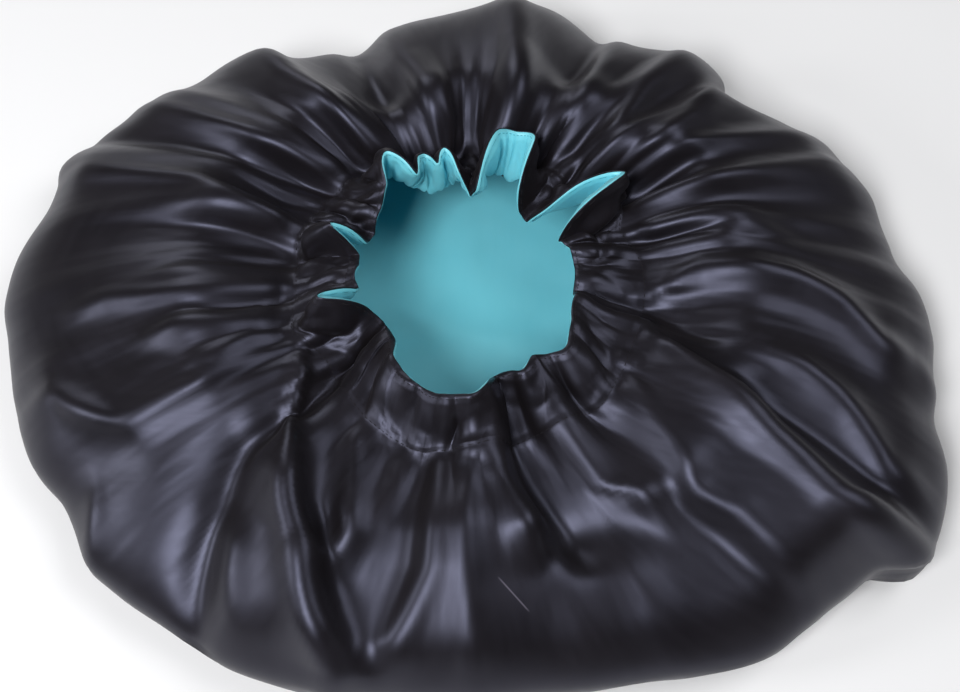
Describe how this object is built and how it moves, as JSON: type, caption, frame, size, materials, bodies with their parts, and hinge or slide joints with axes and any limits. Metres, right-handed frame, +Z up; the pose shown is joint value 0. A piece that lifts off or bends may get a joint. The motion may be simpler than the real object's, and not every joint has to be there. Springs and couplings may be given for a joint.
{
  "type": "hair bonnet",
  "caption": "Reversible two-ply satin hair bonnet lying on its crown, drawn in round its opening by an elastic band in a stitched casing.",
  "frame": {"origin": "on the floor under the middle of the bonnet as it lies, opening upwards", "axes": "+Z up out of the opening, +X to the viewer's right along the longest extent, +Y away from the viewer"},
  "size_m": [0.4219, 0.3479, 0.0709],
  "materials": {
    "black_satin": "glossy satin weave",
    "turquoise_satin": "glossy satin weave",
    "white_elastic": "matte woven elastic",
    "black_thread": "spun polyester thread",
    "turquoise_thread": "spun polyester thread"
  },
  "bodies": {
    "root": {"outer_shell": "black_satin", "lining": "turquoise_satin", "elastic_band": "white_elastic", "elastic_lap_stitches": "black_thread", "edge_seam_thread": "black_thread", "edge_needle_thread": "black_thread", "edge_bobbin_thread": "turquoise_thread", "channel_needle_thread": "black_thread", "channel_bobbin_thread": "turquoise_thread", "closing_stitches": "black_thread"}
  },
  "joints": []
}
